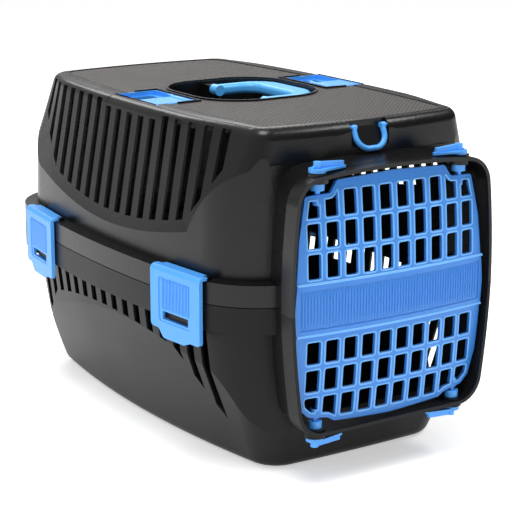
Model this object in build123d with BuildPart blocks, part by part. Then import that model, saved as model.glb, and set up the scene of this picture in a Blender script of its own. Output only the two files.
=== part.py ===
from build123d import *
import os
from math import atan, cos, degrees, radians, sin, sqrt

os.makedirs("parts", exist_ok=True)

# Frame: X across the carrier, Y along it with the door at -Y, Z up from the floor.
# All sizes are in millimetres.

# Overall size
carrier_length = 487.0
carrier_width = 320.0
carrier_height = 308.0
split_height = 157.5
wall = 2.4
running_gap = 0.3

# Flanges at the split line
flange_step = 13.0
upper_flange_height = 20.0
lower_flange_height = 23.5
flange_front = -218.0
flange_corner = 75.0
seam_height = 0.8
seam_depth = 2.0
side_bow_radius = 1226.0
side_bow_centre = -2.0
end_bow_radius = 1500.0

# Upper shell: upright walls, an inclined block above them and a smile-shaped crease between
body_front = -202.0
body_taper = 3.8
body_corner = 60.0
block_top_half_width = 115.5
block_side_slope = 0.271
block_top_bow_radius = 1600.0
block_foot_bow_radius = 4500.0
block_bow_centre = -20.0
block_top_front = -202.0
block_front_slope = 0.04
block_top_rear = 215.0
block_rear_slope = 0.23
block_end_bow_radius = 620.0
block_top_corner = 18.0
block_foot_corner = 40.0
shoulder_radius = 11.0
panel_rim = 11.0
panel_depth = 0.8

# Ledge that carries the upright walls up to the door frame, seen from the side
ledge_start_y = -118.0
ledge_start_z = 196.0
ledge_middle_y = -158.4
ledge_middle_z = 253.6
ledge_end_y = -203.0
ledge_end_z = 279.5

# Base shell: upright walls above and an inclined foot that meet in an arched crease
base_side_taper = 0.12
base_rear_taper = 0.16
foot_half_width = 111.4
foot_side_slope = 0.3
foot_front = -189.5
foot_front_slope = 0.3
foot_rear = 219.0
foot_rear_slope = 0.19
foot_bow_radius = 1050.0
foot_top_bow_radius = 4000.0
foot_bow_centre = 16.0
foot_corner = 30.0
foot_top_corner = 44.0
base_edge_radius = 10.0

# Door frame, a hood that flares towards the front
rim_y = -242.0
hood_back_y = -190.0
rim_half_width = 108.0
rim_top = 277.0
rim_bottom = 46.5
rim_top_half_width = 100.5
rim_bottom_half_width = 96.5
rim_corner = 26.0
hood_flare = 11.0
hood_rise = 4.5
rim_crown = 5.6
rim_side_arch = 2.0
hood_lip = 16.0
hood_wall = 3.2

# Ventilation slots
slot_count = 17
slot_pitch = 21.0
slot_width = 10.4
slot_reach = 74.0
upper_slot_first_y = -152.0
upper_slot_top = 303.4
upper_slot_guide_top = 298.0
base_slot_first_y = -147.0
base_slot_top = 131.0

# Door grille, a panel of even thickness on a large sphere
door_apex_y = -carrier_length / 2
door_sphere_radius = 800.0
door_centre_z = 159.0
door_thickness = 3.2
door_band_half_width = 101.4
door_top = 270.0
door_bottom = 52.4
door_corner_half_width = 88.8
door_notch_inner = 57.5
door_notch_outer = 64.5
door_top_notch = 256.0
door_bottom_notch = 60.5
door_columns = 10
door_column_pitch = 18.25
door_hole_width = 12.4
door_hole_corner = 1.8
upper_hole_height = 21.6
upper_row_pitch = 25.9
upper_row_top = 248.1
lower_hole_height = 20.1
lower_row_pitch = 25.3
lower_row_bottom = 70.2
band_bottom = 137.4
band_top = 181.8
band_rise = 0.9
band_panel_margin = 4.4
hole_field_margin = 4.6

# Door pins
pin_x = 75.5
pin_y = -230.2
pin_tip_radius = 2.4
pin_tip_flat = 3.2
pin_socket_clearance = 0.08
socket_slot_width = 3.8
socket_wall = 1.6
socket_depth = 8.5
socket_end_gap = 1.6
collar_radius = 6.2
collar_height = 6.0
pin_shaft_radius = 4.0
pin_bore_clearance = 0.08
pin_boss_radius = 9.4
upper_boss_top = 274.8
upper_boss_bottom = 266.5
lower_boss_bottom = 43.4
lower_boss_top = 51.4
knob_gap = 0.4
hub_radius = 7.6
hub_height = 3.4
wing_reach = 26.0
wing_tip_radius = 2.6
wing_plate = 2.0
fin_width = 3.0
fin_start = 6.5
fin_top = 9.0
fin_tip_drop = 1.6
post_radius = 3.5

# Side clips
clip_length = 71.0
clip_thickness = 3.6
clip_gap = 0.6
clip_rear_y = 134.0
clip_front_y = -133.0
clip_plate_bottom = 124.5
clip_tongue_drop = 8.0
clip_tongue_rear = 17.0
clip_tongue_front = 13.0
clip_front_drop = 4.5
clip_corner = 4.0
clip_fold_radius = 5.0
clip_top_gap = 0.5
clip_top_thickness = 2.8
clip_axis_inset = 8.4
clip_bar_radius = 2.0
clip_bar_clearance = 0.08
clip_barrel_radius = 3.6
clip_barrel_length = 58.0
clip_mouth_width = 3.2
clip_lug_radius = 3.3
clip_lug_length = 4.0
clip_pocket_clearance = 0.5
clip_window_width = 37.0
clip_window_height = 7.5
clip_tooth_width = 31.0
clip_tooth_reach = 3.0
clip_tooth_gap = 0.7
clip_tooth_height = 4.5
clip_inset_width = 47.0
clip_inset_bottom = 6.5
clip_inset_top = 9.0
clip_inset_depth = 0.7
clip_rib_count = 19
clip_rib_pitch = 2.1
clip_rib_width = 1.1

# Carry handle and its recess
recess_length_x = 126.0
recess_length_y = 130.0
recess_centre_y = 4.0
recess_corner = 46.0
recess_floor = 281.0
recess_bead_height = 1.8
recess_bead_width = 2.2
handle_axis_z = 300.8
handle_thickness = 10.6
handle_reach = 61.0
handle_grip = 23.0
handle_leg = 11.5
handle_end = 50.5
handle_outer_bend = 30.0
handle_inner_bend = 15.0
handle_edge = 4.2
trunnion_radius = 3.0
trunnion_length = 7.0
trunnion_clearance = 0.08
bracket_width = 11.0
bracket_top = 305.0

# Seat belt guides in the top panel
guide_centre_x = 94.5
guide_centre_y = 4.0
guide_width = 44.0
guide_length = 77.0
guide_gap = 0.3
guide_seat = 301.4
guide_floor = 2.0
guide_rim_top = 307.6
guide_wall = 1.8
guide_ridge_width = 2.4
guide_ridge_top = 309.0
well_width = 30.0
well_length = 31.0
well_centre_y = 23.5
well_corner = 5.0
well_bottom = 290.0
flap_axis_inset = 7.0
flap_axis_z = 306.4
flap_barrel_radius = 2.8
flap_pin_radius = 1.3
flap_pin_length = 2.2
flap_pin_clearance = 0.08
flap_lug_length = 3.0
flap_lug_width = 6.0
flap_plate_thickness = 2.4
flap_length = 32.6

# Strap rings and their notches at the front and rear of the top
ring_width = 36.0
ring_length = 19.6
ring_wire_radius = 2.5
ring_bend_radius = 12.5
ring_floor_gap = 0.6
ring_pivot_depth = 3.5
ring_pin_radius = 1.5
ring_pin_length = 3.4
ring_pin_clearance = 0.08
notch_width = 40.0
notch_wall_drop = 6.0
notch_bottom_z = 281.5
front_notch_y = -194.5
front_notch_run = 0.44
rear_notch_y = 207.5
rear_notch_run = 0.5

upper_flange_top = split_height + upper_flange_height
lower_flange_bottom = split_height - lower_flange_height
flange_half_width = carrier_width / 2
flange_rear = carrier_length / 2
body_half_width = flange_half_width - flange_step
body_rear = flange_rear - flange_step


def save(part, name):
    """Label a finished piece and write it to its own file."""
    part.label = name
    export_step(part, f"parts/{name}.step")


def arc_drop(radius, offset):
    """How far an arc of this radius falls back at this distance from its crown."""
    return radius - sqrt(radius**2 - offset**2)


def plan_outline(half_width, front, rear, bow_radius, bow_centre, corner, end_radius=end_bow_radius):
    """A plan outline of four bowed sides with rounded corners."""
    corners = []
    for end, inward in ((front, 1), (rear, -1)):
        x, y = half_width, end
        for _ in range(6):
            x = half_width - arc_drop(bow_radius, y - bow_centre)
            y = end + inward * arc_drop(end_radius, x)
        corners.append((x, y))
    (front_x, front_y), (rear_x, rear_y) = corners
    mid_y = (front_y + rear_y) / 2
    mid_x = half_width - arc_drop(bow_radius, mid_y - bow_centre)
    with BuildSketch() as outline:
        with BuildLine():
            ThreePointArc((-front_x, front_y), (0, front), (front_x, front_y))
            ThreePointArc((front_x, front_y), (mid_x, mid_y), (rear_x, rear_y))
            ThreePointArc((rear_x, rear_y), (0, rear), (-rear_x, rear_y))
            ThreePointArc((-rear_x, rear_y), (-mid_x, mid_y), (-front_x, front_y))
        make_face()
        fillet(outline.vertices(), corner)
    return outline.sketch


def inclined_block(inset, roof_drop=0.0):
    """The tapered block of the upper shell with its rounded shoulder, drawn in by an even inset."""
    height = carrier_height - split_height
    with BuildPart() as block:
        with BuildSketch(Plane.XY.offset(split_height)):
            add(plan_outline(
                block_top_half_width + block_side_slope * height - inset,
                block_top_front - block_front_slope * height + inset,
                block_top_rear + block_rear_slope * height - inset,
                block_foot_bow_radius, block_bow_centre, block_foot_corner, block_end_bow_radius,
            ))
        with BuildSketch(Plane.XY.offset(carrier_height - inset - roof_drop)):
            add(plan_outline(
                block_top_half_width - inset * (1 - block_side_slope),
                block_top_front + inset * (1 - block_front_slope),
                block_top_rear - inset * (1 - block_rear_slope),
                block_top_bow_radius, block_bow_centre, block_top_corner, block_end_bow_radius,
            ))
        loft(ruled=True)
        fillet(block.faces().sort_by(Axis.Z)[-1].edges(), shoulder_radius - inset)
    return block.part


def upright_body(inset):
    """The bowed upright walls of the upper shell, drawn in by an even inset."""
    with BuildPart() as body:
        for height, taper in ((split_height, 0), (carrier_height, body_taper)):
            with BuildSketch(Plane.XY.offset(height)):
                add(plan_outline(
                    body_half_width - taper - inset, body_front + inset, body_rear - taper - inset,
                    side_bow_radius, side_bow_centre, body_corner - inset,
                ))
        loft(ruled=True)
    return body.part


def front_ledge(inset):
    """The upright walls up to the ledge that rises towards the door frame, drawn in by an even inset."""
    far = -carrier_length
    with BuildPart() as ledge:
        with BuildSketch(Plane.YZ):
            with BuildLine():
                Line((ledge_start_y, split_height), (ledge_start_y, ledge_start_z - inset))
                ThreePointArc(
                    (ledge_start_y, ledge_start_z - inset),
                    (ledge_middle_y, ledge_middle_z - inset),
                    (ledge_end_y, ledge_end_z - inset),
                )
                Polyline(
                    (ledge_end_y, ledge_end_z - inset), (far, ledge_end_z - inset),
                    (far, split_height), (ledge_start_y, split_height),
                )
            make_face()
        extrude(amount=carrier_width, both=True)
        add(upright_body(inset), mode=Mode.INTERSECT)
    return ledge.part


def flange_band(bottom, top, inset):
    """The flange that stands out at the split line, between two heights."""
    with BuildPart() as band:
        with BuildSketch(Plane.XY.offset(bottom)):
            add(plan_outline(
                flange_half_width - inset, flange_front + inset, flange_rear - inset,
                side_bow_radius, side_bow_centre, flange_corner - inset,
            ))
        extrude(amount=top - bottom)
    return band.part


def hood_section(y, inset):
    """One upright section of the door frame: straight at the lip, then drawn in."""
    back_share = max(0.0, (y - rim_y - hood_lip) / (hood_back_y - rim_y - hood_lip))
    half_width = rim_half_width - hood_flare * back_share - inset
    top_half_width = rim_top_half_width - hood_flare * back_share - inset
    bottom_half_width = rim_bottom_half_width - hood_flare * back_share - inset
    top = rim_top + hood_rise * back_share - inset
    bottom = rim_bottom + inset
    upper_mid = ((half_width + top_half_width) / 2 + rim_side_arch, (split_height + top) / 2)
    lower_mid = ((half_width + bottom_half_width) / 2 + rim_side_arch, (split_height + bottom) / 2)
    with BuildSketch() as section:
        with BuildLine():
            ThreePointArc((-top_half_width, top - rim_crown), (0, top), (top_half_width, top - rim_crown))
            ThreePointArc((top_half_width, top - rim_crown), upper_mid, (half_width, split_height))
            ThreePointArc((half_width, split_height), lower_mid, (bottom_half_width, bottom))
            Line((bottom_half_width, bottom), (-bottom_half_width, bottom))
            ThreePointArc(
                (-bottom_half_width, bottom), (-lower_mid[0], lower_mid[1]), (-half_width, split_height)
            )
            ThreePointArc(
                (-half_width, split_height), (-upper_mid[0], upper_mid[1]),
                (-top_half_width, top - rim_crown),
            )
        make_face()
        corners = section.vertices().group_by(Axis.Y)
        fillet(corners[0] + corners[-1], rim_corner - inset)
    return section.sketch


def hood(inset, front_y):
    """The whole door frame, from its rim back into the shells."""
    with BuildPart() as frame:
        for y in (front_y, rim_y + hood_lip, hood_back_y):
            with BuildSketch(Plane.XZ.offset(-y)):
                add(hood_section(y, inset))
        loft(ruled=True)
    return frame.part


def upper_slot_bottom(y):
    """Lower end of a side slot of the upper shell: a shallow smile with steep ends."""
    smile = 205.8 + 0.001 * (y - 5.0) ** 2
    front_rise = 238.0 - 1.316 * (y + 133.0)
    rear_rise = 237.0 + 0.885 * (y - 151.0)
    return max(smile, front_rise, rear_rise)


def base_slot_bottom(y):
    """Lower end of a side slot of the base: a shallow arch with long ends."""
    arch = 111.3 - 0.0009 * (y - 10.0) ** 2
    front_fall = 49.0 + 1.1 * (y + 147.0)
    rear_fall = 89.0 - 0.9 * (y - 150.0)
    return min(arch, front_fall, rear_fall)


def upper_slot_top_at(y):
    """Upper end of a side slot of the upper shell, lower beside the belt guides."""
    reach = guide_length / 2 + guide_ridge_width + slot_width
    return upper_slot_guide_top if abs(y - guide_centre_y) < reach else upper_slot_top


def side_slots(first_y, bottom_of, top_of):
    """Cutters for the row of slots through both side walls, with lower ends cut along the crease."""
    with BuildPart() as cutters:
        with BuildSketch(Plane.YZ.offset(-carrier_width / 2)):
            for index in range(slot_count):
                y = first_y + slot_pitch * index
                near, far, top = y - slot_width / 2, y + slot_width / 2, top_of(y)
                with BuildLine():
                    Polyline(
                        (near, bottom_of(near)), (far, bottom_of(far)), (far, top), (near, top),
                        close=True,
                    )
                make_face()
        extrude(amount=slot_reach)
        mirror(about=Plane.YZ)
    return cutters.part


def notch_profile(edge_y, direction, run_share, shift):
    """Side view of a strap notch: a short drop, then a floor that slopes outwards."""
    top = carrier_height + 4
    floor_top = carrier_height - notch_wall_drop
    floor_run = (floor_top - notch_bottom_z) * run_share
    back = edge_y - direction * shift
    with BuildSketch() as profile:
        with BuildLine():
            Polyline(
                (back, top),
                (back, floor_top - shift),
                (back + direction * floor_run, notch_bottom_z - shift),
                (back + direction * (floor_run + 25), notch_bottom_z - shift),
                (back + direction * (floor_run + 25), top),
                close=True,
            )
        make_face()
    return profile.sketch


def clip_plane(side, y):
    """Plane across a side clip's middle: X outwards, Y up, origin on the hinge axis."""
    slope = (y - side_bow_centre) / side_bow_radius
    outer_x = flange_half_width - arc_drop(side_bow_radius, y - side_bow_centre)
    length = sqrt(1 + slope**2)
    outwards = Vector(side / length, slope / length, 0)
    origin = Vector(side * outer_x, y, clip_axis_z) - outwards * clip_axis_inset
    return Plane(origin=origin, x_dir=outwards, z_dir=outwards.cross(Vector(0, 0, 1)))


def base_form(inset):
    """The body of the base: upright walls cut by the inclined foot, with a rounded bottom edge."""
    rise = lower_flange_bottom
    with BuildPart() as form:
        for height in (inset, rise):
            drop = rise - height
            with BuildSketch(Plane.XY.offset(height)):
                add(plan_outline(
                    body_half_width - base_side_taper * drop - inset, body_front + inset,
                    body_rear - base_rear_taper * drop - inset,
                    side_bow_radius, side_bow_centre, body_corner - inset,
                ))
        loft(ruled=True)
        fillet(form.faces().sort_by(Axis.Z)[0].edges(), base_edge_radius - inset)
        with BuildPart(mode=Mode.PRIVATE) as foot:
            for height, bow_radius, corner in (
                (inset, foot_bow_radius, foot_corner), (rise, foot_top_bow_radius, foot_top_corner)
            ):
                with BuildSketch(Plane.XY.offset(height)):
                    add(plan_outline(
                        foot_half_width + foot_side_slope * height - inset,
                        foot_front - foot_front_slope * height + inset,
                        foot_rear + foot_rear_slope * height - inset,
                        bow_radius, foot_bow_centre, corner - inset,
                    ))
            loft(ruled=True)
            fillet(foot.faces().sort_by(Axis.Z)[0].edges(), base_edge_radius - inset)
        add(foot.part, mode=Mode.INTERSECT)
    return form.part


def pin_sites():
    """Both pin positions across the door."""
    return Locations((-pin_x, pin_y), (pin_x, pin_y))


def recess_outline(margin):
    """Outline of the handle recess in the top, grown by a margin."""
    with BuildSketch() as outline:
        with Locations((0, recess_centre_y)):
            RectangleRounded(
                recess_length_x + 2 * margin, recess_length_y + 2 * margin, recess_corner + margin
            )
    return outline.sketch


def guide_outline(margin):
    """Outline of both belt guides, grown by a margin."""
    with BuildSketch() as outline:
        with Locations((-guide_centre_x, guide_centre_y), (guide_centre_x, guide_centre_y)):
            Rectangle(guide_width + 2 * margin, guide_length + 2 * margin)
    return outline.sketch


def well_outline(margin):
    """Outline of the deep well of both belt guides, grown by a margin."""
    with BuildSketch() as outline:
        with Locations((-guide_centre_x, well_centre_y), (guide_centre_x, well_centre_y)):
            RectangleRounded(well_width + 2 * margin, well_length + 2 * margin, well_corner + margin)
    return outline.sketch


clip_axis_z = upper_flange_top + clip_top_gap + clip_top_thickness - clip_barrel_radius
clip_places = {
    "front_left": (-1, clip_front_y),
    "rear_left": (-1, clip_rear_y),
    "front_right": (1, clip_front_y),
    "rear_right": (1, clip_rear_y),
}
notches = {
    "front": (front_notch_y, -1, front_notch_run),
    "rear": (rear_notch_y, 1, rear_notch_run),
}


def ring_pivot(notch_name):
    """Pivot point of a strap ring, just above the sloping floor of its notch."""
    back_y, direction, run_share = notches[notch_name]
    floor_z = carrier_height - notch_wall_drop - ring_pivot_depth / run_share
    lift = (ring_wire_radius + ring_floor_gap) * sqrt(1 + run_share**2) / run_share
    return back_y + direction * ring_pivot_depth, floor_z + lift


# Upper shell
with BuildPart() as upper_shell:
    add(inclined_block(0))
    add(upright_body(0), mode=Mode.INTERSECT)
    add(front_ledge(0))
    add(flange_band(split_height + seam_height, upper_flange_top, 0))
    add(flange_band(split_height, split_height + seam_height, seam_depth))
    add(hood(0, rim_y))
    with BuildSketch(Plane.XY.offset(split_height)):
        Rectangle(2 * carrier_width, 2 * carrier_length)
    extrude(amount=-split_height, mode=Mode.SUBTRACT)

    # Sunk top panel with beads round the handle recess and the belt guides
    with BuildSketch(Plane.XY.offset(carrier_height - panel_depth)):
        add(plan_outline(
            block_top_half_width - panel_rim, block_top_front + panel_rim, block_top_rear - panel_rim,
            block_top_bow_radius, block_bow_centre, block_top_corner, block_end_bow_radius,
        ))
    extrude(amount=panel_depth + 5, mode=Mode.SUBTRACT)
    with BuildSketch(Plane.XY.offset(carrier_height - panel_depth - 0.5)):
        add(recess_outline(recess_bead_width))
    extrude(amount=recess_bead_height + 0.5)
    with BuildSketch(Plane.XY.offset(carrier_height - panel_depth - 0.5)):
        add(guide_outline(guide_ridge_width))
        Rectangle(2 * guide_centre_x, guide_length + 20, mode=Mode.INTERSECT)
    extrude(amount=guide_ridge_top - carrier_height + panel_depth + 0.5)

    # Cabin: the same forms one wall further in, less the tubs of everything let into them
    with BuildPart(mode=Mode.PRIVATE) as upper_cabin:
        add(inclined_block(wall, panel_depth))
        add(upright_body(wall), mode=Mode.INTERSECT)
        add(front_ledge(wall))
        add(flange_band(split_height - 1, upper_flange_top - wall, wall))
        add(hood(hood_wall, rim_y - 2))
        with BuildSketch(Plane.XY.offset(recess_floor - wall)):
            add(recess_outline(wall))
        extrude(amount=60, mode=Mode.SUBTRACT)
        with BuildSketch(Plane.XY.offset(guide_seat - wall)):
            add(guide_outline(wall))
        extrude(amount=60, mode=Mode.SUBTRACT)
        for back_y, direction, run_share in notches.values():
            with BuildSketch(Plane.YZ):
                add(notch_profile(back_y, direction, run_share, wall))
            extrude(amount=notch_width / 2 + ring_pin_length + wall, both=True, mode=Mode.SUBTRACT)
        for side, y in clip_places.values():
            with BuildSketch(clip_plane(side, y)):
                with Locations((0, 0)):
                    Rectangle(
                        2 * (clip_barrel_radius + clip_pocket_clearance + wall),
                        2 * (clip_barrel_radius + clip_pocket_clearance + wall),
                    )
            extrude(
                amount=clip_barrel_length / 2 + clip_lug_length + wall, both=True, mode=Mode.SUBTRACT
            )
        with BuildSketch(Plane.XY.offset(upper_boss_bottom)):
            with pin_sites():
                Circle(pin_boss_radius)
        extrude(amount=30, mode=Mode.SUBTRACT)
    add(upper_cabin.part, mode=Mode.SUBTRACT)

    # Handle recess with its two bracket blocks
    with BuildSketch(Plane.XY.offset(recess_floor)):
        add(recess_outline(0))
    extrude(amount=60, mode=Mode.SUBTRACT)
    bracket_length = recess_length_y / 2 - handle_end - running_gap
    with BuildSketch(Plane.XY.offset(recess_floor - 1)):
        for side in (-1, 1):
            with Locations((0, recess_centre_y + side * (recess_length_y - bracket_length + 1) / 2)):
                Rectangle(bracket_width, bracket_length + 1)
    extrude(amount=bracket_top - recess_floor + 1)
    with BuildSketch(Plane.XZ.offset(-recess_centre_y)):
        with Locations((0, handle_axis_z)):
            Circle(trunnion_radius + trunnion_clearance)
    extrude(amount=handle_end + trunnion_length + running_gap, both=True, mode=Mode.SUBTRACT)

    # Belt guide seats, open over the shoulder, with a hole for each well
    with BuildSketch(Plane.XY.offset(guide_seat)):
        add(guide_outline(guide_gap))
        with Locations((-guide_centre_x - 10, guide_centre_y), (guide_centre_x + 10, guide_centre_y)):
            Rectangle(guide_width + 2 * guide_gap, guide_length + 2 * guide_gap)
    extrude(amount=20, mode=Mode.SUBTRACT)
    with BuildSketch(Plane.XY.offset(guide_seat - 10)):
        add(well_outline(guide_wall + guide_gap))
    extrude(amount=30, mode=Mode.SUBTRACT)

    # Strap notches with a bore on each side for the ring
    for notch_name, (back_y, direction, run_share) in notches.items():
        with BuildSketch(Plane.YZ):
            add(notch_profile(back_y, direction, run_share, 0))
        extrude(amount=notch_width / 2, both=True, mode=Mode.SUBTRACT)
        with BuildSketch(Plane.YZ):
            with Locations(ring_pivot(notch_name)):
                Circle(ring_pin_radius + ring_pin_clearance)
        extrude(
            amount=notch_width / 2 + ring_pin_length, both=True, mode=Mode.SUBTRACT
        )

    # Ventilation slots
    add(side_slots(upper_slot_first_y, upper_slot_bottom, upper_slot_top_at), mode=Mode.SUBTRACT)

    # Hinge pockets of the side clips, each with a fixed bar between two lugs
    for side, y in clip_places.values():
        middle = clip_plane(side, y)
        pocket_radius = clip_barrel_radius + clip_pocket_clearance
        with BuildSketch(middle):
            with Locations((0, 10)):
                Rectangle(2 * pocket_radius, 20)
            Circle(pocket_radius)
        extrude(amount=clip_barrel_length / 2 + running_gap, both=True, mode=Mode.SUBTRACT)
        with BuildSketch(middle):
            Circle(clip_bar_radius)
        extrude(amount=clip_barrel_length / 2 + 1, both=True)
        for end in (-1, 1):
            near = end * (clip_barrel_length / 2 + running_gap)
            with BuildSketch(middle.offset(near)):
                Circle(clip_lug_radius)
                with Locations((0, -clip_lug_radius / 2)):
                    Rectangle(2 * clip_lug_radius, clip_lug_radius)
            extrude(amount=end * clip_lug_length)

    # Door pin bosses
    with BuildSketch(Plane.XY.offset(upper_boss_bottom)):
        with pin_sites():
            Circle(pin_boss_radius)
    extrude(amount=upper_boss_top - upper_boss_bottom)
    with BuildSketch(Plane.XY.offset(upper_boss_bottom - 1)):
        with pin_sites():
            Circle(pin_shaft_radius + pin_bore_clearance)
    extrude(amount=20, mode=Mode.SUBTRACT)
save(upper_shell.part, "upper_shell")

# Base shell
with BuildPart() as base_shell:
    add(base_form(0))
    add(flange_band(lower_flange_bottom, split_height, 0))
    add(hood(0, rim_y))
    with BuildSketch(Plane.XY.offset(split_height)):
        Rectangle(2 * carrier_width, 2 * carrier_length)
    extrude(amount=carrier_height, mode=Mode.SUBTRACT)

    # Cabin
    with BuildPart(mode=Mode.PRIVATE) as lower_cabin:
        add(base_form(wall))
        with BuildSketch(Plane.XY.offset(lower_flange_bottom - 1)):
            add(plan_outline(
                body_half_width - wall, body_front + wall, body_rear - wall,
                side_bow_radius, side_bow_centre, body_corner - wall,
            ))
        extrude(amount=lower_flange_height + 2)
        add(flange_band(lower_flange_bottom + wall, split_height + 1, wall))
        add(hood(hood_wall, rim_y - 2))
        with BuildSketch(Plane.XY.offset(lower_boss_top)):
            with pin_sites():
                Circle(pin_boss_radius)
        extrude(amount=-30, mode=Mode.SUBTRACT)
    add(lower_cabin.part, mode=Mode.SUBTRACT)

    # Ventilation slots
    add(side_slots(base_slot_first_y, base_slot_bottom, lambda y: base_slot_top), mode=Mode.SUBTRACT)

    # Door pin bosses
    with BuildSketch(Plane.XY.offset(lower_boss_bottom)):
        with pin_sites():
            Circle(pin_boss_radius)
    extrude(amount=lower_boss_top - lower_boss_bottom)
    with BuildSketch(Plane.XY.offset(lower_boss_bottom - 1)):
        with pin_sites():
            Circle(pin_shaft_radius + pin_bore_clearance)
    extrude(amount=20, mode=Mode.SUBTRACT)
save(base_shell.part, "base_shell")


def door_outline(margin):
    """Front view of the door, drawn in by a margin."""
    half = [
        (door_band_half_width, door_centre_z),
        (96.2, 219.0),
        (door_corner_half_width, door_top_notch),
        (door_notch_outer, door_top_notch + 1),
        (door_notch_inner, door_top - 2.6),
        (0, door_top),
    ]
    lower = [
        (0, door_bottom),
        (door_notch_inner, door_bottom + 2.8),
        (door_notch_outer, door_bottom_notch - 1),
        (84.0, door_bottom_notch + 2),
        (92.0, 70.0),
        (98.0, 94.0),
    ]
    right = half[:-1][::-1]
    points = [(x, z) for x, z in half] + [(-x, z) for x, z in right]
    points += [(-x, z) for x, z in lower[::-1]] + [(x, z) for x, z in lower[1:]]
    with BuildSketch() as outline:
        with BuildLine():
            Polyline(*points, close=True)
        make_face()
        fillet(outline.vertices(), 3.0)
        if margin:
            offset(amount=-margin, mode=Mode.REPLACE)
    return outline.sketch


# Door grille
with BuildPart() as door_grille:
    with BuildSketch(Plane.XZ.offset(-door_apex_y + 5)):
        add(door_outline(0))
    extrude(amount=-40)
    with Locations((0, door_apex_y + band_rise + door_sphere_radius, door_centre_z)):
        Sphere(door_sphere_radius, mode=Mode.INTERSECT)
        Sphere(door_sphere_radius - door_thickness, mode=Mode.SUBTRACT)
    with BuildPart(mode=Mode.PRIVATE) as band:
        with BuildSketch(Plane.XZ.offset(-door_apex_y + 5)):
            add(door_outline(0))
            with Locations((0, (band_bottom + band_top) / 2)):
                Rectangle(2 * carrier_width, band_top - band_bottom, mode=Mode.INTERSECT)
                Rectangle(
                    2 * (door_band_half_width - band_panel_margin),
                    band_top - band_bottom - 2 * band_panel_margin, mode=Mode.SUBTRACT,
                )
        extrude(amount=-40)
        with Locations((0, door_apex_y + band_rise + door_sphere_radius, door_centre_z)):
            Sphere(door_sphere_radius + band_rise, mode=Mode.INTERSECT)
            Sphere(door_sphere_radius - 0.5, mode=Mode.SUBTRACT)
    add(band.part)

    # Grid of openings, kept inside the outline
    with BuildSketch(Plane.XZ.offset(-door_apex_y + 5)):
        for column in range(door_columns):
            x = (column - (door_columns - 1) / 2) * door_column_pitch
            for row in range(3):
                with Locations((x, upper_row_top - row * upper_row_pitch)):
                    RectangleRounded(door_hole_width, upper_hole_height, door_hole_corner)
                with Locations((x, lower_row_bottom + row * lower_row_pitch)):
                    RectangleRounded(door_hole_width + 1, lower_hole_height, door_hole_corner)
        add(door_outline(hole_field_margin), mode=Mode.INTERSECT)
    extrude(amount=-40, mode=Mode.SUBTRACT)

    # Sockets for the four pins, flush with the front and open to the rear
    with BuildPart(mode=Mode.PRIVATE) as sockets:
        for bottom in (door_top_notch - socket_depth, door_bottom_notch):
            with BuildSketch(Plane.XY.offset(bottom)):
                with pin_sites():
                    Circle(pin_tip_radius + pin_socket_clearance + socket_wall)
            extrude(amount=socket_depth)
        with Locations((0, door_apex_y + band_rise + door_sphere_radius, door_centre_z)):
            Sphere(door_sphere_radius, mode=Mode.INTERSECT)
    add(sockets.part)
    for bottom in (door_top_notch - socket_depth, door_bottom_notch - 5):
        with BuildSketch(Plane.XY.offset(bottom)):
            with pin_sites():
                Circle(pin_tip_radius + pin_socket_clearance)
            with Locations((-pin_x, pin_y + 4), (pin_x, pin_y + 4)):
                Rectangle(socket_slot_width, 8)
        extrude(amount=socket_depth + 5, mode=Mode.SUBTRACT)
save(door_grille.part, "door_grille")

# Door pins
for level, up in (("top", 1), ("bottom", -1)):
    for hand, side in (("left", -1), ("right", 1)):
        notch_z = door_top_notch if up > 0 else door_bottom_notch
        boss_inner = upper_boss_bottom if up > 0 else lower_boss_top
        boss_outer = upper_boss_top if up > 0 else lower_boss_bottom
        tip_z = notch_z - up * (socket_depth - socket_end_gap)
        collar_z = boss_inner - up * (running_gap + collar_height)
        knob_z = boss_outer + up * knob_gap
        with BuildPart() as door_pin:
            with BuildSketch(Plane.XY.offset(tip_z)):
                with Locations((side * pin_x, pin_y)):
                    Circle(pin_tip_radius)
                    if side > 0:
                        Rectangle(pin_tip_flat, 3 * pin_tip_radius, mode=Mode.INTERSECT)
                    else:
                        Rectangle(3 * pin_tip_radius, pin_tip_flat, mode=Mode.INTERSECT)
            extrude(amount=collar_z - tip_z)
            with BuildSketch(Plane.XY.offset(collar_z)):
                with Locations((side * pin_x, pin_y)):
                    Circle(collar_radius)
            extrude(amount=up * collar_height)
            with BuildSketch(Plane.XY.offset(collar_z)):
                with Locations((side * pin_x, pin_y)):
                    Circle(pin_shaft_radius)
            extrude(amount=knob_z - collar_z)
            hub_z = knob_z + up * hub_height
            tip_x = side * (pin_x - wing_reach)
            with BuildSketch(Plane.XY.offset(knob_z)):
                with Locations((side * pin_x, pin_y)):
                    Circle(hub_radius)
            extrude(amount=up * hub_height)
            with BuildSketch(Plane.XY.offset(hub_z - up * wing_plate)):
                with BuildLine():
                    Polyline(
                        (side * pin_x, pin_y - hub_radius), (tip_x, pin_y - wing_tip_radius),
                        (tip_x, pin_y + wing_tip_radius), (side * pin_x, pin_y + hub_radius),
                        close=True,
                    )
                make_face()
                with Locations((tip_x, pin_y)):
                    Circle(wing_tip_radius)
            extrude(amount=up * wing_plate)
            with BuildSketch(Plane.XZ.offset(-pin_y)):
                with BuildLine():
                    Polyline(
                        (side * (pin_x + fin_start), hub_z - up), (side * pin_x, knob_z + up * fin_top),
                        (tip_x, knob_z + up * (fin_top - fin_tip_drop)), (tip_x, hub_z - up),
                        close=True,
                    )
                make_face()
            extrude(amount=fin_width / 2, both=True)
            with BuildSketch(Plane.XY.offset(hub_z)):
                with Locations((side * pin_x, pin_y)):
                    Circle(post_radius)
            extrude(amount=up * (fin_top - hub_height))
        save(door_pin.part, f"door_pin_{level}_{hand}")

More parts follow.
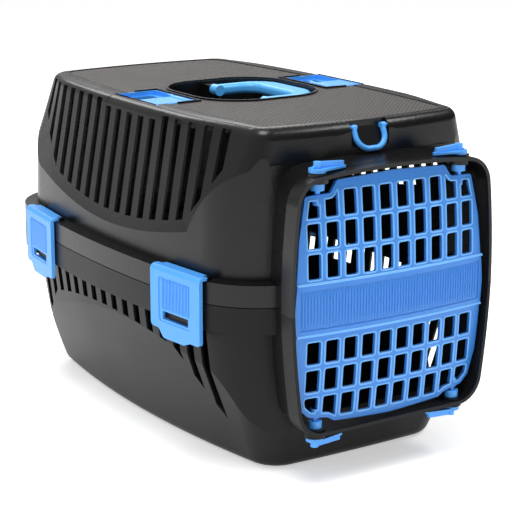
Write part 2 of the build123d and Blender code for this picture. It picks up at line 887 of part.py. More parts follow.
# Side clips
for place, (side, y) in clip_places.items():
    middle = clip_plane(side, y)
    inner = clip_axis_inset + clip_gap
    outer = inner + clip_thickness
    top = clip_barrel_radius
    bottom = clip_plate_bottom - clip_axis_z
    tooth_top = lower_flange_bottom - clip_tooth_gap - clip_axis_z
    front_view = Plane(origin=middle.origin, x_dir=-middle.z_dir, z_dir=middle.x_dir)
    half = clip_length / 2
    with BuildPart() as side_clip:
        with BuildSketch(middle) as fold:
            with BuildLine():
                Polyline(
                    (clip_lug_radius + clip_gap, top), (outer, top), (outer, bottom - clip_tongue_drop),
                    (inner, bottom - clip_tongue_drop), (inner, top - clip_top_thickness),
                    (clip_lug_radius + clip_gap, top - clip_top_thickness),
                    close=True,
                )
            make_face()
            fillet(fold.vertices().group_by(Axis.X)[-1].sort_by(Axis.Y)[-1], clip_fold_radius)
        extrude(amount=half, both=True)
        with BuildSketch(front_view) as face_outline:
            with BuildLine():
                points = [
                    (-half, top + clip_corner), (-half, bottom), (-clip_tongue_rear - 7, bottom),
                    (-clip_tongue_rear, bottom - clip_tongue_drop),
                    (clip_tongue_front, bottom - clip_tongue_drop),
                    (clip_tongue_front + 9, bottom - clip_front_drop), (half, bottom - clip_front_drop),
                    (half, top + clip_corner),
                ]
                Polyline(*[(-side * x, z) for x, z in points], close=True)
            make_face()
            fillet(face_outline.vertices(), clip_corner)
        extrude(amount=2 * clip_axis_inset + clip_thickness, mode=Mode.INTERSECT)
        with BuildSketch(front_view.offset(outer - clip_inset_depth)):
            with Locations((0, (bottom + clip_inset_bottom + top - clip_inset_top) / 2)):
                RectangleRounded(
                    clip_inset_width, top - clip_inset_top - bottom - clip_inset_bottom, clip_corner
                )
        extrude(amount=clip_thickness, mode=Mode.SUBTRACT)
        rib_bottom = tooth_top + clip_window_height + 2
        rib_top = top - clip_inset_top - 2
        with BuildSketch(front_view.offset(outer - clip_inset_depth - 0.2)):
            with Locations((0, (rib_bottom + rib_top) / 2)):
                with GridLocations(clip_rib_pitch, 0, clip_rib_count, 1):
                    Rectangle(clip_rib_width, rib_top - rib_bottom)
        extrude(amount=clip_inset_depth + 0.2)
        with BuildSketch(middle):
            Circle(clip_barrel_radius)
            with Locations((inner / 2, top - clip_top_thickness / 2)):
                Rectangle(inner, clip_top_thickness)
        extrude(amount=clip_barrel_length / 2, both=True)
        with BuildSketch(middle):
            Circle(clip_bar_radius + clip_bar_clearance)
            with Locations((0, -clip_barrel_radius)):
                Rectangle(clip_mouth_width, 2 * clip_barrel_radius)
        extrude(amount=clip_barrel_length, both=True, mode=Mode.SUBTRACT)
        with BuildSketch(middle):
            with BuildLine():
                Polyline(
                    (inner, tooth_top),
                    (inner - clip_gap - clip_tooth_reach, tooth_top),
                    (inner, tooth_top - clip_tooth_height),
                    close=True,
                )
            make_face()
        extrude(amount=clip_tooth_width / 2, both=True)
        with BuildSketch(middle):
            with Locations(((inner + outer) / 2, tooth_top + clip_window_height / 2)):
                Rectangle(4 * clip_thickness, clip_window_height)
        extrude(amount=clip_window_width / 2, both=True, mode=Mode.SUBTRACT)
    save(side_clip.part, f"side_clip_{place}")

# Carry handle, folded down towards +X
with BuildPart() as carry_handle:
    with BuildSketch(Plane.XY.offset(handle_axis_z - handle_thickness / 2)) as bow:
        with Locations((handle_reach / 2, recess_centre_y)):
            Rectangle(handle_reach, 2 * handle_end)
        fillet(bow.vertices().group_by(Axis.X)[-1], handle_outer_bend)
        with Locations(((handle_reach - handle_grip) / 2, recess_centre_y)):
            Rectangle(handle_reach - handle_grip, 2 * (handle_end - handle_leg), mode=Mode.SUBTRACT)
        fillet(
            bow.vertices().filter_by(lambda corner: abs(corner.X - handle_reach + handle_grip) < 0.01),
            handle_inner_bend,
        )
    extrude(amount=handle_thickness)
    fillet(
        carry_handle.faces().filter_by(Axis.Z).edges().filter_by(
            lambda edge: edge.center().X > 0.5
        ),
        handle_edge,
    )
    with BuildSketch(Plane.XZ.offset(-recess_centre_y)):
        with Locations((0, handle_axis_z)):
            Circle(handle_thickness / 2)
    extrude(amount=handle_end, both=True)
    with BuildSketch(Plane.XZ.offset(-recess_centre_y)):
        with Locations((0, handle_axis_z)):
            Circle(handle_thickness)
    extrude(amount=handle_end - handle_leg, both=True, mode=Mode.SUBTRACT)
    with BuildSketch(Plane.XZ.offset(-recess_centre_y)):
        with Locations((0, handle_axis_z)):
            Circle(trunnion_radius)
    extrude(amount=handle_end + trunnion_length, both=True)
    with BuildSketch(Plane.XZ.offset(-recess_centre_y)):
        with Locations((0, handle_axis_z)):
            Circle(handle_thickness)
    extrude(amount=handle_end - handle_leg, both=True, mode=Mode.SUBTRACT)
save(carry_handle.part, "carry_handle")

# Belt guides: a tray let into the top and a flap on its inner side
for hand, side in (("left", -1), ("right", 1)):
    axis_x = side * (guide_centre_x - guide_width / 2 + flap_axis_inset)
    flap_front = guide_centre_y - guide_length / 2 + flap_lug_length + running_gap
    flap_middle = flap_front + flap_length / 2
    lug_front = flap_front - running_gap - flap_lug_length / 2
    lug_rear = flap_front + flap_length + running_gap + flap_lug_length / 2
    with BuildPart() as belt_tray:
        with BuildSketch(Plane.XY.offset(guide_seat)):
            with Locations((side * guide_centre_x, guide_centre_y)):
                Rectangle(guide_width, guide_length)
        extrude(amount=guide_rim_top - guide_seat)
        with BuildSketch(Plane.XY.offset(guide_seat + guide_floor)):
            with Locations((side * guide_centre_x, guide_centre_y)):
                Rectangle(guide_width - 2 * guide_wall, guide_length - 2 * guide_wall)
        extrude(amount=20, mode=Mode.SUBTRACT)
        with BuildSketch(Plane.XY.offset(well_bottom)):
            with Locations((side * guide_centre_x, well_centre_y)):
                RectangleRounded(
                    well_width + 2 * guide_wall, well_length + 2 * guide_wall, well_corner + guide_wall
                )
        extrude(amount=guide_seat + guide_floor - well_bottom)
        with BuildSketch(Plane.XY.offset(well_bottom + guide_wall)):
            with Locations((side * guide_centre_x, well_centre_y)):
                RectangleRounded(well_width, well_length, well_corner)
        extrude(amount=30, mode=Mode.SUBTRACT)
        with BuildSketch(Plane.XY.offset(guide_seat + 1)):
            with Locations((axis_x, lug_front), (axis_x, lug_rear)):
                Rectangle(flap_lug_width, flap_lug_length)
        extrude(amount=flap_axis_z + flap_barrel_radius - guide_seat - 1)
        with BuildSketch(Plane.XZ.offset(-flap_middle)):
            with Locations((axis_x, flap_axis_z)):
                Circle(flap_pin_radius + flap_pin_clearance)
        extrude(
            amount=flap_length / 2 + running_gap + flap_pin_length, both=True, mode=Mode.SUBTRACT
        )
    save(belt_tray.part, f"belt_tray_{hand}")

    with BuildPart() as belt_flap:
        with BuildSketch(Plane.XZ.offset(-flap_middle)):
            with Locations((axis_x, flap_axis_z)):
                Circle(flap_barrel_radius)
        extrude(amount=flap_length / 2, both=True)
        outer_edge = side * (guide_centre_x + guide_width / 2 - guide_wall - 1)
        with BuildSketch(Plane.XZ.offset(-flap_middle)):
            with Locations(((axis_x + outer_edge) / 2, flap_axis_z)):
                Rectangle(abs(outer_edge - axis_x), flap_plate_thickness)
        extrude(amount=flap_length / 2, both=True)
        with BuildSketch(Plane.XZ.offset(-flap_middle)):
            with Locations((axis_x, flap_axis_z)):
                Circle(flap_pin_radius)
        extrude(amount=flap_length / 2 + flap_pin_length, both=True)
    save(belt_flap.part, f"belt_flap_{hand}")

# Strap rings
for notch_name, (back_y, direction, run_share) in notches.items():
    pivot_y, pivot_z = ring_pivot(notch_name)
    down_slope = Vector(0, direction * run_share, -1)
    ring_plane = Plane(
        origin=(0, pivot_y, pivot_z), x_dir=(1, 0, 0), z_dir=Vector(1, 0, 0).cross(down_slope)
    )
    half = ring_width / 2 - ring_wire_radius
    with BuildPart() as strap_ring:
        with BuildLine(ring_plane) as wire_path:
            path = Polyline((-half, 0), (-half, ring_length), (half, ring_length), (half, 0))
            fillet(wire_path.vertices().group_by(Axis.Z)[0], ring_bend_radius)
        wire = wire_path.wires()[0]
        with BuildSketch(Plane(origin=wire @ 0, x_dir=(1, 0, 0), z_dir=wire % 0)):
            Circle(ring_wire_radius)
        sweep(path=wire)
        for end in (-1, 1):
            with BuildSketch(Plane.YZ.offset(end * (half - ring_wire_radius))):
                with Locations((pivot_y, pivot_z)):
                    Circle(ring_wire_radius)
            extrude(amount=end * 2 * ring_wire_radius)
            with BuildSketch(Plane.YZ.offset(end * half)):
                with Locations((pivot_y, pivot_z)):
                    Circle(ring_pin_radius)
            extrude(amount=end * (notch_width / 2 + ring_pin_length - 0.4 - half))
    save(strap_ring.part, f"strap_ring_{notch_name}")
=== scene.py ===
"""Pet carrier dressed for the photograph: charcoal shells, and blue door, clips, pins, handle and rings."""
import math

import bmesh
import bpy
from mathutils import Matrix, Vector
from mathutils.bvhtree import BVHTree


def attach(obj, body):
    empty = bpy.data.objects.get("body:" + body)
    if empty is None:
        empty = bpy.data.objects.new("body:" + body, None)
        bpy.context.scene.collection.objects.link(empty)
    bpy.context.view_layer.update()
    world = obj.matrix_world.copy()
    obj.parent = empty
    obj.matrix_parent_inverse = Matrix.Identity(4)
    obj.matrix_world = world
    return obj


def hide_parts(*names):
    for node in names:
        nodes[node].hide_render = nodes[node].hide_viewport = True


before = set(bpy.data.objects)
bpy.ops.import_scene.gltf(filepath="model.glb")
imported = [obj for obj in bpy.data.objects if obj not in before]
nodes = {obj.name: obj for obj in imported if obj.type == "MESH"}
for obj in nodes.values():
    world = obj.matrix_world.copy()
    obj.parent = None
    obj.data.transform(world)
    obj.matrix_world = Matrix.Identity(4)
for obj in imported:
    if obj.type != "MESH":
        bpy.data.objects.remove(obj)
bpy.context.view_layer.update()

# Camera, fitted to the photograph: view angles in degrees, lengths in metres
VIEW_AZIMUTH = -33.1107
VIEW_ELEVATION = 14.5392
VIEW_ROLL = 0.0796
VIEW_TARGET = Vector((0.01418, 0.0, 0.14092))
VIEW_DISTANCE = 1.64203
FOCAL_PIXELS = 1662.87
IMAGE_PIXELS = 512
SENSOR_WIDTH = 36.0

# Colours
CHARCOAL = (0.0065, 0.0065, 0.0070)
# Grey of the top panel: partly its own matt grey, partly painted light from above
LIT_PANEL_GREY = (0.070, 0.062, 0.057)
BLUE = (0.080, 0.390, 0.980)
# Lighter copy of the trim blue for the handle in its shaded recess: painted light
LIT_HANDLE_BLUE = (0.095, 0.470, 1.000)
# Darker copy of the trim blue for the door and its ribs: painted shade
SHADED_DOOR_BLUE = (0.042, 0.245, 0.740)
# Lighter blue for the door's beads: painted highlight on their rounded edges
HIGHLIGHT_EDGE_BLUE = (0.160, 0.480, 0.980)

# Surface of each plastic: roughness, specular level, grains per metre, depth of a grain in metres and
# unevenness of the colour
SHELL_FINISH = (0.27, 0.34, 2600.0, 0.00004, 0.08)
BASE_FINISH = (0.38, 0.20, 2600.0, 0.00004, 0.08)
TRIM_FINISH = (0.36, 0.50, 1800.0, 0.00002, 0.04)
EDGE_FINISH = (0.34, 0.50, 1800.0, 0.00002, 0.04)

# Every plastic
PLASTIC_IOR = 1.49
GRAIN_DETAIL = 3.0
CLOUDS_PER_METRE = 14.0
CLOUD_DETAIL = 4.0
GLOSS_SPREAD = 0.05

# Sunk panel of the top, told from the rest by its height, with staggered dimples; its lighter grey is partly
# its own matt grey and partly painted light from above
PANEL_HEIGHT = 0.3072
PANEL_HEIGHT_MARGIN = 0.00025
PANEL_EXTRA_ROUGHNESS = 0.25
DIMPLES_PER_METRE = 300.0
DIMPLE_TURN = 45
DIMPLE_DEPTH = 0.0010
DIMPLE_EDGE = (0.15, 0.45)
# Share of the panel grey left in the dimples' centres: painted shade in the hollows
DIMPLE_SHADE = 0.55

# Height in metres below which a belt guide is as dark as the shell
TRAY_FLOOR = 0.3012

# Upper shell's inclined block, in millimetres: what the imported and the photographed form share
BLOCK_TOP = 309.0
BLOCK_HEIGHT = 151.5
BLOCK_FOOT = 196.0
BLOCK_BOW_CENTRE = -20.0
BLOCK_BOW_RADIUS = 1600.0

# Half width at the top, slope and foot bow radius of the block's side walls, packed and as photographed
PACKED_WALL = (115.5, 0.271, 4500.0)
PHOTO_WALL = (126.0, 0.17, 2500.0)
PACKED_SHOULDER = 11.0
SHOULDER_CENTRE = 298.0

# Which points of the shell move with the side walls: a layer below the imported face, between the front and
# rear stretches over which the change fades out
WALL_MARGIN = 1.5
WALL_DEPTH = 11.0
WALL_FACE = 3.5
REAR_FADE = (140.0, 215.0)
FRONT_FADE = (90.0, 190.0)

# Upright body that the block stands in, in millimetres
BODY_HALF_WIDTH = 147.0
BODY_TAPER = 3.8
BODY_BOW_CENTRE = -2.0
BODY_BOW_RADIUS = 1226.0
BODY_FRONT = -202.0
BODY_CORNER = 60.0
BODY_SKIN = 2.4
SPLIT_HEIGHT = 157.5

# Shoulder strips outside the belt guides, in millimetres
GUIDE_CENTRE = 4.0
GUIDE_REACH = 38.7
GUIDE_OUTER = 116.8
GUIDE_RIM_FOOT = 301.5
GUIDE_RIM_TOP = 308.6
GUIDE_RIM_STEPS = 8
GUIDE_RIM_SECTIONS = 20
GUIDE_RIM_EDGE_ANGLE = 35

# Raised borders of the door's openings: offsets outward and forward, in metres
FRONT_FACING = 0.93
HOLE_LOOP_LIMIT = 0.045
BEAD_LEAST_STEP = 0.0004
BEAD_MITRE_LIMIT = 0.6
BEAD_PROFILE = ((-0.0001, 0.0001), (0.0002, -0.0004), (0.0007, -0.0006), (0.0012, -0.0004), (0.0016, 0.0001))

# Upright ribs of the door's closed band
RIB_PITCH = 0.00303
RIB_REACH = 0.0955
RIB_BOTTOM = 0.1428
RIB_TOP = 0.1764
RIB_STEPS = 8
RIB_SUNK = 0.0001
RIB_PROFILE = ((-0.0011, RIB_SUNK), (-0.0008, -0.0008), (0.0, -0.0011), (0.0008, -0.0008), (0.0011, RIB_SUNK))

# Rounded edges of the door's closed band
EDGE_HEIGHTS = (0.1372, 0.1820)
EDGE_REACH = 0.1000
EDGE_STEPS = 60
EDGE_PROFILE = ((-0.0013, 0.0003), (-0.0009, -0.0009), (0.0, -0.0014), (0.0009, -0.0009), (0.0013, 0.0003))

# White floor, partly self-lit as a shadowless product table is
FLOOR_SIZE = 30.0
FLOOR_HEIGHT = -0.0004
FLOOR_WHITE = (0.95, 0.95, 0.95)
FLOOR_GLOW = 0.50

# Studio dome, brightest above and behind the left side: its strength runs over a range of the dot product
# with the brightest direction
DOME_DIRECTION = (-0.50, 0.25, 0.83)
DOME_RANGE = (-0.35, 1.0)
DOME_STRENGTH = (0.03, 0.70)

# Lights: name, place, aim, size and power
LIGHTS = (
    ("key_light", (-0.5, -0.35, 2.0), (0, 0, 0.15), (0.8, 0.8), 24.0),
    ("front_light", (1.15, -0.78, 1.85), (0, -0.2, 0.29), (0.9, 0.30), 14.0),
    ("rear_light", (0.66, 1.80, 1.55), (0, 0, 0.2), (1.6, 1.0), 16.0),
)


def add_camera():
    """The camera at the photograph's viewing angle."""
    azimuth, elevation = math.radians(VIEW_AZIMUTH), math.radians(VIEW_ELEVATION)
    back = Vector((
        math.sin(azimuth) * math.cos(elevation),
        -math.cos(azimuth) * math.cos(elevation),
        math.sin(elevation),
    ))
    data = bpy.data.cameras.new("camera")
    data.sensor_width = SENSOR_WIDTH
    data.lens = SENSOR_WIDTH * FOCAL_PIXELS / IMAGE_PIXELS
    data.clip_start, data.clip_end = 0.05, 60.0
    camera = bpy.data.objects.new("camera", data)
    bpy.context.scene.collection.objects.link(camera)
    turn = (-back).to_track_quat("-Z", "Y").to_matrix().to_4x4()
    roll = Matrix.Rotation(math.radians(VIEW_ROLL), 4, "Z")
    camera.matrix_world = Matrix.Translation(VIEW_TARGET + back * VIEW_DISTANCE) @ turn @ roll
    bpy.context.scene.camera = camera


def add_light(name, location, target, size, power):
    """A soft rectangular studio light aimed at a point."""
    data = bpy.data.lights.new(name, "AREA")
    data.shape = "RECTANGLE"
    data.size, data.size_y = size
    data.energy = power
    light = bpy.data.objects.new(name, data)
    bpy.context.scene.collection.objects.link(light)
    aim = Vector(target) - Vector(location)
    turn = aim.to_track_quat("-Z", "Y").to_matrix().to_4x4()
    light.matrix_world = Matrix.Translation(Vector(location)) @ turn


def add_dome():
    """White surroundings whose strength falls off away from their brightest direction."""
    world = bpy.data.worlds.new("studio")
    bpy.context.scene.world = world
    world.use_nodes = True
    dome = world.node_tree
    background = dome.nodes["Background"]
    background.inputs["Color"].default_value = (1, 1, 1, 1)
    direction = dome.nodes.new("ShaderNodeTexCoord")
    towards = dome.nodes.new("ShaderNodeVectorMath")
    towards.operation = "DOT_PRODUCT"
    towards.inputs[1].default_value = DOME_DIRECTION
    level = dome.nodes.new("ShaderNodeMapRange")
    level.inputs["From Min"].default_value, level.inputs["From Max"].default_value = DOME_RANGE
    level.inputs["To Min"].default_value, level.inputs["To Max"].default_value = DOME_STRENGTH
    dome.links.new(direction.outputs["Generated"], towards.inputs[0])
    dome.links.new(towards.outputs["Value"], level.inputs["Value"])
    dome.links.new(level.outputs["Result"], background.inputs["Strength"])


def new_material(name):
    """An empty node material."""
    material = bpy.data.materials.new(name)
    material.use_nodes = True
    material.node_tree.nodes.clear()
    return material


def add_node(material, kind, **values):
    """A node of a material with its settings."""
    node = material.node_tree.nodes.new(kind)
    for key, value in values.items():
        setattr(node, key, value)
    return node


def link(material, source, target):
    """Join two sockets."""
    material.node_tree.links.new(source, target)


def mix_colours(material, factor, first, second):
    """A colour mix by a factor, of two colours or sockets."""
    mix = add_node(material, "ShaderNodeMix", data_type="RGBA")
    link(material, factor, mix.inputs[0])
    for socket, value in ((mix.inputs[6], first), (mix.inputs[7], second)):
        if isinstance(value, tuple):
            socket.default_value = (*value, 1)
        else:
            link(material, value, socket)
    return mix.outputs[2]


def noise(material, place, scale, detail):
    """A noise texture's factor over an object's own space."""
    texture = add_node(material, "ShaderNodeTexNoise")
    texture.inputs["Scale"].default_value = scale
    texture.inputs["Detail"].default_value = detail
    link(material, place.outputs["Object"], texture.inputs["Vector"])
    return texture.outputs["Fac"]


def bump(material, height, depth):
    """A bump of a height socket, to a depth in metres."""
    relief = add_node(material, "ShaderNodeBump")
    relief.inputs["Strength"].default_value = 1.0
    relief.inputs["Distance"].default_value = depth
    link(material, height, relief.inputs["Height"])
    return relief


def height_test(material, place, operation, *values):
    """1 where a point's height passes a comparison and 0 elsewhere."""
    axes = add_node(material, "ShaderNodeSeparateXYZ")
    link(material, place.outputs["Object"], axes.inputs["Vector"])
    test = add_node(material, "ShaderNodeMath", operation=operation)
    link(material, axes.outputs["Z"], test.inputs[0])
    for socket, value in zip(list(test.inputs)[1:], values):
        socket.default_value = value
    return test.outputs["Value"]


def plastic(name, colour, finish):
    """Moulded plastic with a fine grain and a slight unevenness of colour and gloss."""
    roughness, shine, grain_scale, grain_depth, mottle = finish
    material = new_material(name)
    output = add_node(material, "ShaderNodeOutputMaterial")
    shader = add_node(material, "ShaderNodeBsdfPrincipled")
    shader.inputs["IOR"].default_value = PLASTIC_IOR
    shader.inputs["Specular IOR Level"].default_value = shine
    link(material, shader.outputs["BSDF"], output.inputs["Surface"])
    place = add_node(material, "ShaderNodeTexCoord")
    grain = noise(material, place, grain_scale, GRAIN_DETAIL)
    cloud = noise(material, place, CLOUDS_PER_METRE, CLOUD_DETAIL)
    dark = tuple(c * (1 - mottle) for c in colour)
    light = tuple(min(c * (1 + mottle), 1) for c in colour)
    gloss = add_node(material, "ShaderNodeMapRange")
    gloss.inputs["To Min"].default_value = roughness - GLOSS_SPREAD
    gloss.inputs["To Max"].default_value = roughness + GLOSS_SPREAD
    link(material, cloud, gloss.inputs["Value"])
    link(material, mix_colours(material, cloud, dark, light), shader.inputs["Base Color"])
    link(material, gloss.outputs["Result"], shader.inputs["Roughness"])
    link(material, bump(material, grain, grain_depth).outputs["Normal"], shader.inputs["Normal"])
    return material


def shader_inputs(material):
    """A plastic's shader, and what feeds its colour, roughness and normal."""
    shader = next(node for node in material.node_tree.nodes if node.type == "BSDF_PRINCIPLED")
    feeds = [shader.inputs[name].links[0].from_socket for name in ("Base Color", "Roughness", "Normal")]
    return shader, *feeds


def panel_plastic(name, colour, finish):
    """Plastic whose sunk top panel is matt with staggered dimples, in a grey that is partly its own and
    partly painted light from above, with painted shade in the dimples.
    """
    material = plastic(name, colour, finish)
    shader, tint, roughness, normal = shader_inputs(material)
    place = add_node(material, "ShaderNodeTexCoord")
    on_panel = height_test(material, place, "COMPARE", PANEL_HEIGHT, PANEL_HEIGHT_MARGIN)
    turn = add_node(material, "ShaderNodeMapping")
    turn.inputs["Rotation"].default_value = (0, 0, math.radians(DIMPLE_TURN))
    link(material, place.outputs["Object"], turn.inputs["Vector"])
    cells = add_node(material, "ShaderNodeTexVoronoi", voronoi_dimensions="2D")
    cells.inputs["Scale"].default_value = DIMPLES_PER_METRE
    cells.inputs["Randomness"].default_value = 0.0
    link(material, turn.outputs["Vector"], cells.inputs["Vector"])
    pit = add_node(material, "ShaderNodeMapRange", interpolation_type="SMOOTHSTEP")
    pit.inputs["From Min"].default_value, pit.inputs["From Max"].default_value = DIMPLE_EDGE
    link(material, cells.outputs["Distance"], pit.inputs["Value"])
    depth = add_node(material, "ShaderNodeMath", operation="MULTIPLY")
    link(material, pit.outputs["Result"], depth.inputs[0])
    link(material, on_panel, depth.inputs[1])
    dimples = bump(material, depth.outputs["Value"], DIMPLE_DEPTH)
    link(material, normal, dimples.inputs["Normal"])
    # Painted shade: the dimples' centres are darkened
    shaded = tuple(c * DIMPLE_SHADE for c in LIT_PANEL_GREY)
    dimple_shaded_grey = mix_colours(material, pit.outputs["Result"], shaded, LIT_PANEL_GREY)
    matt = add_node(material, "ShaderNodeMath", operation="MULTIPLY_ADD")
    matt.inputs[1].default_value = PANEL_EXTRA_ROUGHNESS
    link(material, on_panel, matt.inputs[0])
    link(material, roughness, matt.inputs[2])
    link(material, mix_colours(material, on_panel, tint, dimple_shaded_grey), shader.inputs["Base Color"])
    link(material, matt.outputs["Value"], shader.inputs["Roughness"])
    link(material, dimples.outputs["Normal"], shader.inputs["Normal"])
    return material


def guide_plastic(name, colour, finish):
    """Plastic of a belt guide, with the shell's colour at the bottom of its well."""
    material = plastic(name, colour, finish)
    shader, tint = shader_inputs(material)[:2]
    place = add_node(material, "ShaderNodeTexCoord")
    above = height_test(material, place, "GREATER_THAN", TRAY_FLOOR)
    link(material, mix_colours(material, above, CHARCOAL, tint), shader.inputs["Base Color"])
    return material


def add_floor():
    """The plain white floor."""
    material = new_material("floor_white")
    output = add_node(material, "ShaderNodeOutputMaterial")
    shader = add_node(material, "ShaderNodeBsdfDiffuse")
    shader.inputs["Color"].default_value = (*FLOOR_WHITE, 1)
    glow = add_node(material, "ShaderNodeEmission")
    glow.inputs["Strength"].default_value = FLOOR_GLOW
    both = add_node(material, "ShaderNodeAddShader")
    link(material, shader.outputs["BSDF"], both.inputs[0])
    link(material, glow.outputs["Emission"], both.inputs[1])
    link(material, both.outputs["Shader"], output.inputs["Surface"])
    bpy.ops.mesh.primitive_plane_add(size=FLOOR_SIZE, location=(0, 0, FLOOR_HEIGHT))
    floor = bpy.context.object
    floor.name = "floor"
    paint(floor, material)


def paint(thing, material):
    """Give an object its material."""
    thing.data.materials.clear()
    thing.data.materials.append(material)


def make_piece(name, vertices, faces, material, body):
    """A smooth mesh piece that rides on a body."""
    mesh = bpy.data.meshes.new(name)
    mesh.from_pydata(vertices, [], faces)
    mesh.validate()
    for polygon in mesh.polygons:
        polygon.use_smooth = True
    piece = bpy.data.objects.new(name, mesh)
    bpy.context.scene.collection.objects.link(piece)
    paint(piece, material)
    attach(piece, body)
    return piece


def welded(node_name):
    """A welded copy of a node's mesh, to read forms from."""
    form = bmesh.new()
    form.from_mesh(nodes[node_name].data)
    bmesh.ops.remove_doubles(form, verts=form.verts, dist=1e-6)
    form.normal_update()
    return form


def front_loops(form):
    """Closed rims of the faces that look forward, each as points in order."""
    front = {face for face in form.faces if face.normal.y < -FRONT_FACING}
    rims = {}
    for edge in form.edges:
        if sum(face in front for face in edge.link_faces) == 1:
            for vertex in edge.verts:
                rims.setdefault(vertex, []).append(edge)
    loops, used = [], set()
    for start in rims:
        if start in used or len(rims[start]) != 2:
            continue
        loop, vertex, edge = [], start, rims[start][0]
        while vertex not in used:
            used.add(vertex)
            loop.append(vertex.co.copy())
            vertex = edge.other_vert(vertex)
            if len(rims[vertex]) != 2:
                break
            edge = rims[vertex][0] if rims[vertex][0] is not edge else rims[vertex][1]
        if vertex is start and len(loop) > 3:
            loops.append(loop)
    return loops


def thin_out(loop, least):
    """A loop without points closer than the least distance."""
    kept = [loop[0]]
    for point in loop[1:]:
        if (point - kept[-1]).length > least and (point - loop[0]).length > least:
            kept.append(point)
    return kept


def bead_round(loop, vertices, faces):
    """Add a raised bead along a loop in the XZ plane, outside the opening it bounds."""
    count = len(loop)
    following = loop[1:] + loop[:1]
    area = sum(point.x * after.z - after.x * point.z for point, after in zip(loop, following))
    turn = 1 if area > 0 else -1
    base = len(vertices)
    for i, point in enumerate(loop):
        steps = point - loop[i - 1], following[i] - point
        sides = [Vector((step.z, 0, -step.x)).normalized() * turn for step in steps]
        outward = (sides[0] + sides[1]).normalized()
        outward /= max(outward.dot(sides[0]), BEAD_MITRE_LIMIT)
        for reach, rise in BEAD_PROFILE:
            vertices.append(tuple(point + outward * reach + Vector((0, rise, 0))))
    width = len(BEAD_PROFILE)
    for i in range(count):
        here, there = base + i * width, base + (i + 1) % count * width
        for k in range(width - 1):
            face = (here + k, here + k + 1, there + k + 1, there + k)
            faces.append(face if turn > 0 else face[::-1])


def add_hole_beads(form, material):
    """Raised borders of the door's openings."""
    vertices, faces = [], []
    for loop in front_loops(form):
        spans = [max(p[a] for p in loop) - min(p[a] for p in loop) for a in (0, 2)]
        if max(spans) < HOLE_LOOP_LIMIT:
            bead_round(thin_out(loop, BEAD_LEAST_STEP), vertices, faces)
    make_piece("door_hole_beads", vertices, faces, material, "door")


def door_face(surface, x, z):
    """Where the door's front face lies, seen from the front."""
    return surface.ray_cast(Vector((x, -1.0, z)), Vector((0, 1, 0)))[0].y


def add_band_ribs(form, material):
    """Upright ribs of the door's closed band, laid on its surface."""
    surface = BVHTree.FromBMesh(form)
    vertices, faces = [], []
    count = int(RIB_REACH / RIB_PITCH)
    width = len(RIB_PROFILE)
    for index in range(-count, count + 1):
        base = len(vertices)
        for step in range(RIB_STEPS + 1):
            z = RIB_BOTTOM + (RIB_TOP - RIB_BOTTOM) * step / RIB_STEPS
            at_end = step in (0, RIB_STEPS)
            for across, rise in RIB_PROFILE:
                x = index * RIB_PITCH + across
                vertices.append((x, door_face(surface, x, z) + (RIB_SUNK if at_end else rise), z))
        for step in range(RIB_STEPS):
            for k in range(width - 1):
                a = base + step * width + k
                faces.append((a, a + 1, a + width + 1, a + width))
    make_piece("door_band_ribs", vertices, faces, material, "door")


def add_band_edges(form, material):
    """Rounded beads along the two long edges of the door's closed band."""
    surface = BVHTree.FromBMesh(form)
    vertices, faces = [], []
    width = len(EDGE_PROFILE)
    middle = sum(EDGE_HEIGHTS) / 2
    for height in EDGE_HEIGHTS:
        base = len(vertices)
        for step in range(EDGE_STEPS + 1):
            x = EDGE_REACH * (2 * step / EDGE_STEPS - 1)
            y = door_face(surface, x, (height + middle) / 2)
            vertices.extend((x, y + rise, height + up) for up, rise in EDGE_PROFILE)
        for step in range(EDGE_STEPS):
            for k in range(width - 1):
                a = base + step * width + k
                faces.append((a, a + width, a + width + 1, a + 1))
    make_piece("door_band_edges", vertices, faces, material, "door")


def ramp(value, start, end):
    """Smooth step from 0 at start to 1 at end."""
    share = min(max((value - start) / (end - start), 0.0), 1.0)
    return share * share * (3 - 2 * share)


def block_half_width(y, z, wall):
    """Half width in millimetres of the upper shell's inclined block."""
    half_width, slope, foot_radius = wall
    drop = BLOCK_TOP - z
    share = drop / BLOCK_HEIGHT
    bow = share / foot_radius + (1 - share) / BLOCK_BOW_RADIUS
    return half_width + slope * drop - (y - BLOCK_BOW_CENTRE) ** 2 / 2 * bow


def body_half_width(y, z):
    """Half width in millimetres of the upright body that the inclined block stands in."""
    taper = BODY_TAPER * (z - SPLIT_HEIGHT) / BLOCK_HEIGHT
    bow = (y - BODY_BOW_CENTRE) ** 2 / 2 / BODY_BOW_RADIUS
    into_corner = min(max(BODY_FRONT + BODY_CORNER - y, 0.0), BODY_CORNER)
    corner = BODY_CORNER - math.sqrt(BODY_CORNER ** 2 - into_corner ** 2)
    return BODY_HALF_WIDTH - taper - bow - corner


def photo_form(point):
    """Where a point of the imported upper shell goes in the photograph's form.

    That form has steeper side walls and a broader shoulder, behind which the belt guides are let in.
    """
    side = -1 if point.x < 0 else 1
    x, y, z = abs(point.x) * 1000, point.y * 1000, point.z * 1000
    packed = block_half_width(y, z, PACKED_WALL)
    if x > packed + WALL_MARGIN or z < BLOCK_FOOT:
        return point
    on_wall = min(max((x - packed + WALL_DEPTH) / (WALL_DEPTH - WALL_FACE), 0.0), 1.0)
    along = (1 - ramp(y, *REAR_FADE)) * (1 - ramp(-y, *FRONT_FADE))
    widen = max(block_half_width(y, z, PHOTO_WALL) - packed, 0.0) * on_wall * along
    body = body_half_width(y, z)
    limit = body - min(max(body - x, 0.0), BODY_SKIN)
    return Vector((side * max(x, min(x + widen, limit)), y, z)) / 1000


def add_upper_form(material):
    """The upper shell in the photograph's form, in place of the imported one."""
    mesh = nodes["upper_shell"].data.copy()
    for vertex in mesh.vertices:
        vertex.co = photo_form(vertex.co)
    piece = bpy.data.objects.new("upper_shell_form", mesh)
    bpy.context.scene.collection.objects.link(piece)
    paint(piece, material)
    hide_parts("upper_shell")
    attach(piece, "shell")


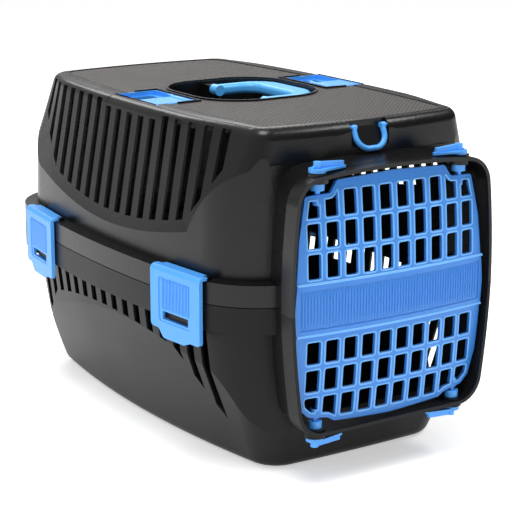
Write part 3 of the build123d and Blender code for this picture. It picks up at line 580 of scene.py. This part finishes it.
def guide_rim_section(y):
    """A closed section of the shoulder strip outside a belt guide, as distances across and heights."""
    section = [(GUIDE_OUTER, GUIDE_RIM_FOOT)]
    for k in range(GUIDE_RIM_STEPS + 1):
        z = GUIDE_RIM_FOOT + (GUIDE_RIM_TOP - GUIDE_RIM_FOOT) * (k / GUIDE_RIM_STEPS)
        above = z - SHOULDER_CENTRE
        rounding = PACKED_SHOULDER - math.sqrt(max(PACKED_SHOULDER ** 2 - above ** 2, 0.0))
        packed = block_half_width(y, z, PACKED_WALL) - rounding
        moved = photo_form(Vector((packed, y, z)) / 1000) * 1000
        section.append((max(moved.x, GUIDE_OUTER), z))
    section.append((GUIDE_OUTER, section[-1][1]))
    return section


def add_guide_rims(material):
    """Shoulder strips outside the belt guides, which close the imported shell's open guide seats."""
    shares = [2 * k / GUIDE_RIM_SECTIONS - 1 for k in range(GUIDE_RIM_SECTIONS + 1)]
    places = [GUIDE_CENTRE + GUIDE_REACH * share for share in shares]
    sections = [guide_rim_section(y) for y in places]
    width = len(sections[0])
    vertices, faces = [], []
    for side in (-1, 1):
        base = len(vertices)
        for y, section in zip(places, sections):
            vertices.extend((side * x / 1000, y / 1000, z / 1000) for x, z in section)
        for step in range(GUIDE_RIM_SECTIONS):
            for k in range(width):
                a, b = base + step * width + k, base + step * width + (k + 1) % width
                face = (a, b, b + width, a + width)
                faces.append(face if side > 0 else face[::-1])
        last = base + GUIDE_RIM_SECTIONS * width
        faces.append(tuple(range(base, base + width))[::-side])
        faces.append(tuple(range(last, last + width))[::side])
    piece = make_piece("guide_side_rims", vertices, faces, material, "shell")
    piece.data.set_sharp_from_angle(angle=math.radians(GUIDE_RIM_EDGE_ANGLE))


shell_plastic = panel_plastic("shell_plastic", CHARCOAL, SHELL_FINISH)
base_plastic = plastic("base_plastic", CHARCOAL, BASE_FINISH)
trim_plastic = plastic("trim_plastic", BLUE, TRIM_FINISH)
# The handle's lighter blue is painted light
lit_handle_plastic = plastic("lit_handle_plastic", LIT_HANDLE_BLUE, TRIM_FINISH)
tray_plastic = guide_plastic("tray_plastic", BLUE, TRIM_FINISH)
# The door's darker blue is painted shade
shaded_door_plastic = plastic("shaded_door_plastic", SHADED_DOOR_BLUE, TRIM_FINISH)
# The beads' lighter blue is painted highlight
highlight_edge_plastic = plastic("highlight_edge_plastic", HIGHLIGHT_EDGE_BLUE, EDGE_FINISH)

node_plastics = {
    "base_shell": base_plastic,
    "upper_shell": shell_plastic,
    "carry_handle": lit_handle_plastic,
    "belt_tray_left": tray_plastic,
    "belt_tray_right": tray_plastic,
    "door_grille": shaded_door_plastic,
}
for node_name, node in nodes.items():
    paint(node, node_plastics.get(node_name, trim_plastic))

add_upper_form(shell_plastic)
add_guide_rims(shell_plastic)

door_form = welded("door_grille")
# Beads round the openings and along the band's edges, in the lighter blue of a painted highlight
add_hole_beads(door_form, highlight_edge_plastic)
add_band_edges(door_form, highlight_edge_plastic)
add_band_ribs(door_form, shaded_door_plastic)

add_floor()
add_dome()
add_camera()
for light in LIGHTS:
    add_light(*light)

bpy.context.scene.view_settings.view_transform = "Standard"
bpy.context.scene.view_settings.look = "None"
